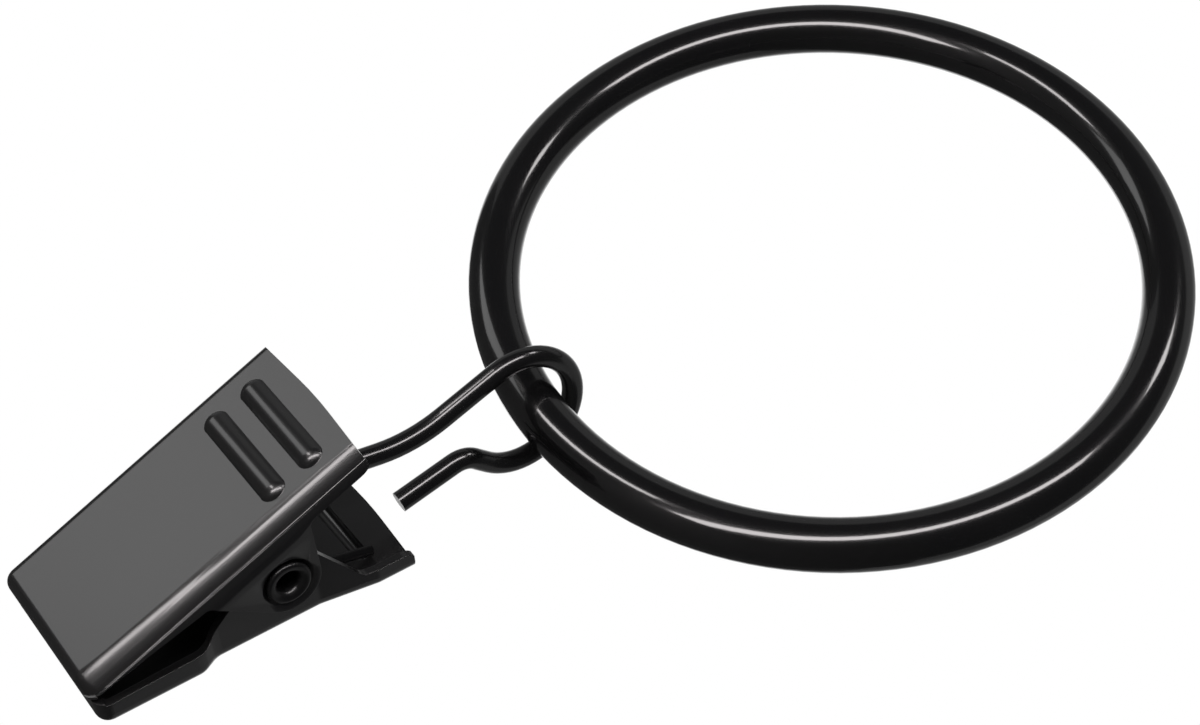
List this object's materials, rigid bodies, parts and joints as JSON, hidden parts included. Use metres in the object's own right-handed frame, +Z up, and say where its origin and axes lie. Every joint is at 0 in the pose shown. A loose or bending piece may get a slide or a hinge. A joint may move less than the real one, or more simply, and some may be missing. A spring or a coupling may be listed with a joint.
{
  "type": "curtain ring with clip",
  "caption": "Round wire curtain ring that carries a wire hook and a small sprung clip for the curtain's edge.",
  "frame": {"origin": "centre of the ring, on the curtain rod's line", "axes": "+Y along the rod, +Z up towards the rod's top, the hook and clip hang towards -Z"},
  "size_m": [0.0444, 0.014, 0.0747],
  "materials": {
    "ring_coating": "gloss black coating",
    "hook_coating": "gloss black coating",
    "clip_coating": "gloss black coating",
    "spring_coating": "blackened steel"
  },
  "bodies": {
    "ring_body": {"ring": "ring_coating"},
    "hook_body": {"hook": "hook_coating"},
    "outer_jaw_body": {"outer_jaw": "clip_coating", "pivot_rivet": "clip_coating", "spring": "spring_coating"},
    "inner_jaw_body": {"inner_jaw": "clip_coating"}
  },
  "joints": [
    {"name": "hook_on_ring", "type": "hinge", "parent": "ring_body", "child": "hook_body", "pos_m": [0, 0, -0.0206], "axis": [1, 0, 0], "continuous": true},
    {"name": "clip_on_hook", "type": "hinge", "parent": "hook_body", "child": "outer_jaw_body", "pos_m": [0.00136, -0.00292, -0.03963], "axis": [0.9812, -0.1677, 0.0958], "range_deg": [-30, 2]},
    {"name": "jaw_opening", "type": "hinge", "parent": "outer_jaw_body", "child": "inner_jaw_body", "pos_m": [0.00136, -0.00292, -0.03963], "axis": [0.9812, -0.1677, 0.0958], "range_deg": [0, 18], "stiffness_Nm_per_rad": 0.03, "springref_deg": -68.75, "deforming": ["spring"]}
  ]
}
